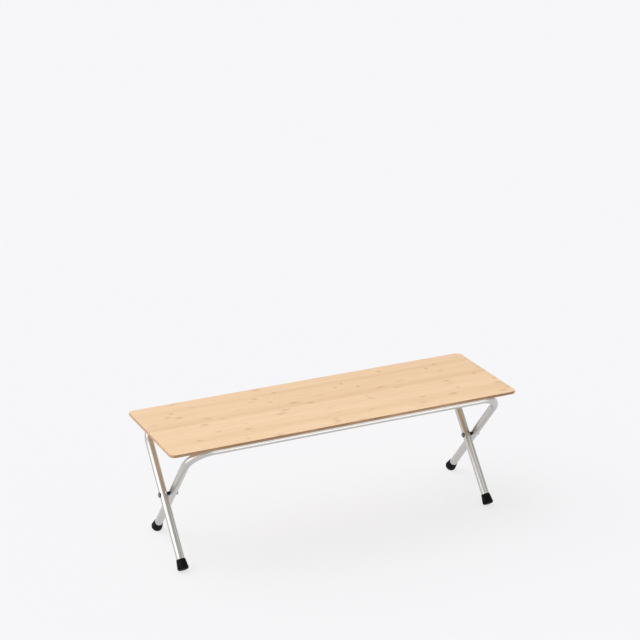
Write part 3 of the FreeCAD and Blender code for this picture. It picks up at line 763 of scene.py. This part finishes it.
def drill_pivot(piece, name, pivot):
    """Cut the rivet's hole through both legs of a frame, with a rod turned from a profile."""
    steps = 32
    radius = pivot.shank_radius + pivot.clearance
    reach = HALF_SPAN + 3 * TUBE_RADIUS
    profile = np.array([(0.0, -reach), (radius, -reach), (radius, reach), (0.0, reach)])
    rod = move_points(revolve_profile(profile, steps), across_pivot(0.0))
    cutter = new_piece(
        name + "_drill", rod, grid_faces(len(profile), steps), FRAME_BODY[name],
        (piece.data.materials[0],), TUBE_CREASE)
    hole = piece.modifiers.new("pivot_hole", "BOOLEAN")
    hole.operation = "DIFFERENCE"
    hole.solver = "EXACT"
    hole.object = cutter
    shapes = bpy.context.evaluated_depsgraph_get()
    drilled = bpy.data.meshes.new_from_object(piece.evaluated_get(shapes))
    piece.modifiers.clear()
    piece.data = drilled
    bpy.data.objects.remove(cutter)


def foot_reach(foot):
    """Distance from the pivot down a leg to the middle of its sole, so that the rounded rubber
    dips below the floor by the depth of the worn flat."""
    drop = (foot.bottom_radius - foot.rounding) * math.cos(LEG_ANGLE)
    below = PIVOT_LEVEL + foot.ground_flat - foot.rounding - drop
    return below / math.sin(LEG_ANGLE) + foot.rounding


class BENCH_OT_feet(bpy.types.Operator):
    """Make the four rubber feet"""
    bl_idname = "bench.feet"
    bl_label = "Rubber feet"

    def execute(self, context):
        """A foot is a profile turned about its leg: the sole, a quarter circle, the taper with
        two shallow beads, the lip and the bore. A bead takes away its depth times e to the minus
        (distance from its level over its width) squared. Where the foot would pass the floor it is
        flat: a point's height is the larger of its own and zero."""
        foot = context.scene.bench_foot
        lip, bore, mouth = 0.0008, TUBE_RADIUS + TUBE_FIT, 0.004
        bead_levels, bead_width, bead_depth = (0.0255, 0.0285), 0.0007, 0.0003
        steps, sole_steps, taper_steps = 96, 10, 60
        inner = foot.bottom_radius - foot.rounding
        climb = np.linspace(0.0, 1.0, taper_steps)
        taper_radius = foot.bottom_radius + (foot.top_radius - foot.bottom_radius) * climb
        taper_height = foot.rounding + (foot.height - lip - foot.rounding) * climb
        beads = sum(
            np.exp(-((taper_height - level) / bead_width) ** 2) for level in bead_levels)
        profile = np.concatenate([
            np.stack([np.linspace(0.0, inner, sole_steps), np.zeros(sole_steps)], axis=1),
            arc_points((inner, foot.rounding), foot.rounding, 270, 360, steps=16),
            np.stack([taper_radius - bead_depth * beads, taper_height], axis=1),
            arc_points((foot.top_radius - lip, foot.height - lip), lip, 0, 90, steps=6),
            np.array([(bore, foot.height), (bore, foot.height - mouth), (bore, foot.sole),
                      (0.0, foot.sole)])])
        upright = revolve_profile(profile, steps)
        faces = grid_faces(len(profile), steps)
        material = black_rubber()
        for (side, _), (name, x, _) in LEGS.items():
            points = move_points(upright, leg_matrix(name, x, foot_reach(foot)))
            points[..., 2] = np.maximum(points[..., 2], 0.0)
            end = FOOT_END[name]
            piece = new_piece("%s_%s_rubber" % (end, side), points, faces, FRAME_BODY[name],
                              (material,), TUBE_CREASE)
            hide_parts("foot_%s_%s" % (end, side))
        return {"FINISHED"}


class BENCH_OT_pivots(bpy.types.Operator):
    """Make the rivets, their washers and the spacers between the legs"""
    bl_idname = "bench.pivots"
    bl_label = "Pivots"

    def execute(self, context):
        """A rivet is a profile turned about X: a low dome, a short rim, the head's flat and the
        shank, and the same again at the other end. The dome's radius is (head radius squared plus
        rise squared) over twice the rise. The washers and spacers are saddle rings."""
        pivot = context.scene.bench_pivot
        steel_colour = rgb(pivot.steel_colour)
        steel = plated_steel("rivet_steel", steel_colour, roughness=0.3)
        washer_steel = plated_steel("washer_steel", shade(steel_colour, 0.4), roughness=0.38)
        steps = 64
        seat = HALF_SHIFT + TUBE_RADIUS + pivot.washer_thickness
        crown = seat + pivot.head_height
        rim = pivot.head_height / 4
        rise = pivot.head_height - rim
        dome = (pivot.head_radius ** 2 + rise ** 2) / (2 * rise)
        climb = math.degrees(math.asin(pivot.head_radius / dome))
        chamfer, under_rim = rim * 0.3, pivot.head_radius * 0.97
        head = np.concatenate([
            arc_points((crown - dome, 0.0), dome, 0.0, climb, steps=14)[:, ::-1],
            np.array([(pivot.head_radius, seat + chamfer), (under_rim, seat),
                      (pivot.shank_radius, seat)])])
        profile = np.concatenate([head, head[::-1] * (1.0, -1.0)])
        rivet = revolve_profile(profile, steps)
        for side, sign in (("left", -1.0), ("right", 1.0)):
            points = move_points(rivet, across_pivot(sign * HALF_SPAN))
            piece = new_piece(side + "_rivet", points, grid_faces(len(profile), steps),
                              "rear_frame", (steel,), CREASE)
            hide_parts("pivot_rivet_" + side)
        washer_top = TUBE_RADIUS + pivot.washer_thickness
        spacer_top = HALF_SHIFT - TUBE_FIT
        forms = (
            ("washer", pivot.washer_radius, washer_top, 1, washer_steel, "rivet_steel"),
            ("spacer", pivot.spacer_radius, spacer_top, -1, black_plastic(), "pivot_plastic"))
        for (side, depth), (name, x, outward) in LEGS.items():
            for form, radius, top, way, finish, slot in forms:
                points, faces = saddle_ring(radius, pivot.shank_radius + pivot.clearance, top)
                matrix = (Matrix.Translation((x, 0.0, PIVOT_LEVEL))
                          @ Matrix.Rotation(FRAME_ANGLE[name], 4, "X")
                          @ Matrix.Rotation(outward * way * math.pi / 2, 4, "Y"))
                piece = new_piece(
                    "%s_%s_%s" % (side, depth, form), move_points(points, matrix), faces,
                    FRAME_BODY[name], (finish,), CREASE)
                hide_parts("pivot_%s_%s_%s" % (form, side, depth))
        return {"FINISHED"}


def saddle_ring(radius, bore, top):
    """A ring about +Z that sits on a tube lying along Y. Its section runs from the bore out along
    the flat face, round the rim and back along the saddle, where the depth is the root of
    (tube radius squared less x squared)."""
    steps, face_steps, saddle_steps = 72, 6, 14
    rounding = radius * 0.08
    rim = arc_points((radius - rounding, top - rounding), rounding, 90, 0, steps=6)
    out = np.linspace(bore, radius - rounding, face_steps)[:-1]
    back = np.linspace(radius, bore, saddle_steps)
    distance = np.concatenate([out, rim[:, 0], back])[:, None]
    height = np.concatenate([np.full(len(out), top), rim[:, 1], np.zeros(len(back))])[:, None]
    on_saddle = np.arange(len(distance))[:, None] >= len(out) + len(rim)
    angle = full_turn(steps)
    x, y = distance * np.cos(angle), distance * np.sin(angle)
    z = np.where(on_saddle, np.sqrt((TUBE_RADIUS + TUBE_FIT) ** 2 - x ** 2), height)
    return np.stack([x, y, z], axis=-1), grid_faces(len(distance), steps, wrap_rows=True)


class BENCH_OT_fittings(bpy.types.Operator):
    """Finish the clamps, catches, screws and discs that the frame already holds"""
    bl_idname = "bench.fittings"
    bl_label = "Clamps, catches and screws"

    def execute(self, context):
        """These nodes keep their own shapes and get their materials."""
        pivot = context.scene.bench_pivot
        screws = [name for name in NODES if "screws" in name or name.startswith("sole_")]
        clamps = [name for name in NODES if name.startswith("hinge_clamp")]
        catches = [name for name in NODES if name.startswith("catch_") and name not in screws]
        dress_nodes(clamps, black_plastic())
        dress_nodes(screws, plated_steel("fixing_steel", rgb(pivot.screw_colour), roughness=0.35))
        dress_nodes(catches, plated_steel("catch_steel", rgb(pivot.catch_colour), roughness=0.32))
        return {"FINISHED"}


class BENCH_OT_stage(bpy.types.Operator):
    """Set the floor, the lamps and the camera"""
    bl_idname = "bench.stage"
    bl_label = "Floor, lamps and camera"

    def execute(self, context):
        """The paper is one level sheet that fills the view, a square of four points, lit from
        above and a little from below."""
        settings = context.scene.bench_stage
        mesh = bpy.data.meshes.new("paper_floor")
        x, y = np.meshgrid([-PAPER_REACH, PAPER_REACH], [-PAPER_REACH, PAPER_REACH])
        points = np.stack([x, y, 0.0 * x], axis=-1)
        faces = grid_faces(2, 2, wrap_columns=False)
        mesh.from_pydata(points.reshape(-1, 3).tolist(), [], faces.tolist())
        mesh.materials.append(white_paper(settings))
        floor = bpy.data.objects.new("paper_floor", mesh)
        context.scene.collection.objects.link(floor)
        self.add_sky(context, settings)
        self.add_key(context, settings)
        for name, values in PANELS.items():
            self.add_panel(context, name, *values)
        self.add_camera(context)
        context.scene.view_settings.view_transform = "Standard"
        return {"FINISHED"}

    def add_sky(self, context, settings):
        """Soft light from all round. Its strength is one, less the unlit part times a wide cone
        high at the front right, plus a window's part times a cone at the left and a strip's part
        times a narrow cone low in front, all times the sky's own strength."""
        world = bpy.data.worlds.new("studio")
        context.scene.world = world
        world.use_nodes = True
        sky = Nodes(world.node_tree)
        background = sky.tree.nodes["Background"]
        place = sky.add("ShaderNodeTexCoord").outputs["Generated"]

        def cone(direction, edge, core):
            """One inside a cone about a direction and zero outside it, with a soft edge."""
            middle = Vector(direction).normalized()
            toward = sky.add("ShaderNodeVectorMath", {0: place, 1: middle}, operation="DOT_PRODUCT")
            return sky.ease(toward.outputs["Value"], edge, core)

        level = sky.total(
            1.0, (cone(*SKY_UNLIT), settings.dark_side - 1.0),
            (cone(*SKY_WINDOW), settings.window_strength),
            (cone(*SKY_STRIP), settings.strip_strength))
        sky.feed(background.inputs["Strength"], sky.calc("MULTIPLY", level, settings.sky_strength))
        sky.feed(background.inputs["Color"], (1.0, 1.0, 1.0))

    def add_key(self, context, settings):
        """One broad far light, even over the whole floor."""
        data = bpy.data.lights.new("key_light", "SUN")
        data.energy = settings.key_strength
        data.angle = math.radians(KEY_SPREAD)
        lamp = bpy.data.objects.new("key_light", data)
        lamp.rotation_euler = Vector(KEY_HEADING).to_track_quat("-Z", "Y").to_euler()
        context.scene.collection.objects.link(lamp)

    def add_panel(self, context, name, place, aim, roll, size, strength):
        """One soft panel of a width and height in metres that faces a point, turned in its own
        plane by a roll in degrees. It shows only in reflections, and its power is strength times
        pi times its area."""
        data = bpy.data.lights.new(name, "AREA")
        data.shape = "RECTANGLE"
        data.size, data.size_y = size
        data.energy = strength * math.pi * size[0] * size[1]
        lamp = bpy.data.objects.new(name, data)
        facing = (Vector(aim) - Vector(place)).to_track_quat("-Z", "Y").to_matrix().to_4x4()
        turn = Matrix.Rotation(math.radians(roll), 4, "Z")
        lamp.matrix_world = Matrix.Translation(place) @ facing @ turn
        lamp.visible_camera = False
        lamp.visible_diffuse = False
        context.scene.collection.objects.link(lamp)

    def add_camera(self, context):
        """The camera looks along its yaw and pitch from its distance, moved right and up."""
        forward = Vector((
            math.sin(CAMERA_YAW) * math.cos(CAMERA_PITCH),
            math.cos(CAMERA_YAW) * math.cos(CAMERA_PITCH), -math.sin(CAMERA_PITCH)))
        level = Vector((math.cos(CAMERA_YAW), -math.sin(CAMERA_YAW), 0.0))
        upright = level.cross(forward)
        right = math.cos(CAMERA_ROLL) * level + math.sin(CAMERA_ROLL) * upright
        up = math.cos(CAMERA_ROLL) * upright - math.sin(CAMERA_ROLL) * level
        place = Vector((0.0, 0.0, CAMERA_AIM_LEVEL)) - forward * CAMERA_DISTANCE
        place += right * CAMERA_RIGHT + up * CAMERA_UP
        data = bpy.data.cameras.new("photo_camera")
        data.sensor_width = SENSOR_WIDTH
        data.lens = CAMERA_FOCUS_PIXELS / IMAGE_PIXELS * SENSOR_WIDTH
        camera = bpy.data.objects.new("photo_camera", data)
        camera.matrix_world = Matrix((
            (right.x, up.x, -forward.x, place.x), (right.y, up.y, -forward.y, place.y),
            (right.z, up.z, -forward.z, place.z), (0.0, 0.0, 0.0, 1.0)))
        context.scene.collection.objects.link(camera)
        context.scene.camera = camera


class BENCH_PT_panel(bpy.types.Panel):
    """Lists the bench's settings and steps"""
    bl_idname = "BENCH_PT_panel"
    bl_label = "Folding bench"
    bl_space_type = "VIEW_3D"
    bl_region_type = "UI"
    bl_category = "Folding bench"

    def draw(self, context):
        """Each group of settings, with the buttons that use it."""
        for group, (_, *steps) in GROUPS.items():
            box = self.layout.box()
            settings = getattr(context.scene, group)
            for name in settings.__annotations__:
                box.prop(settings, name)
            for step in steps:
                box.operator(step.bl_idname)


# Each group of settings by its name in the scene, with its class and the steps that use it
GROUPS = {
    "bench_board": (BoardSettings, BENCH_OT_board),
    "bench_tube": (TubeSettings, BENCH_OT_tubes),
    "bench_foot": (FootSettings, BENCH_OT_feet),
    "bench_pivot": (PivotSettings, BENCH_OT_pivots, BENCH_OT_fittings),
    "bench_stage": (StageSettings, BENCH_OT_stage),
}
OPERATORS = tuple(step for _, *steps in GROUPS.values() for step in steps)
CLASSES = (*(settings for settings, *_ in GROUPS.values()), *OPERATORS, BENCH_PT_panel)


def register():
    """Register every class and give the scene its groups of settings."""
    for item in CLASSES:
        bpy.utils.register_class(item)
    for name, (settings, *_) in GROUPS.items():
        setattr(bpy.types.Scene, name, PointerProperty(type=settings))


def unregister():
    """Take the settings and the classes away again."""
    for name in GROUPS:
        delattr(bpy.types.Scene, name)
    for item in reversed(CLASSES):
        bpy.utils.unregister_class(item)


def main():
    """Make the whole bench."""
    register()
    for operator in OPERATORS:
        group, name = operator.bl_idname.split(".")
        getattr(getattr(bpy.ops, group), name)()


if __name__ == "__main__":
    main()
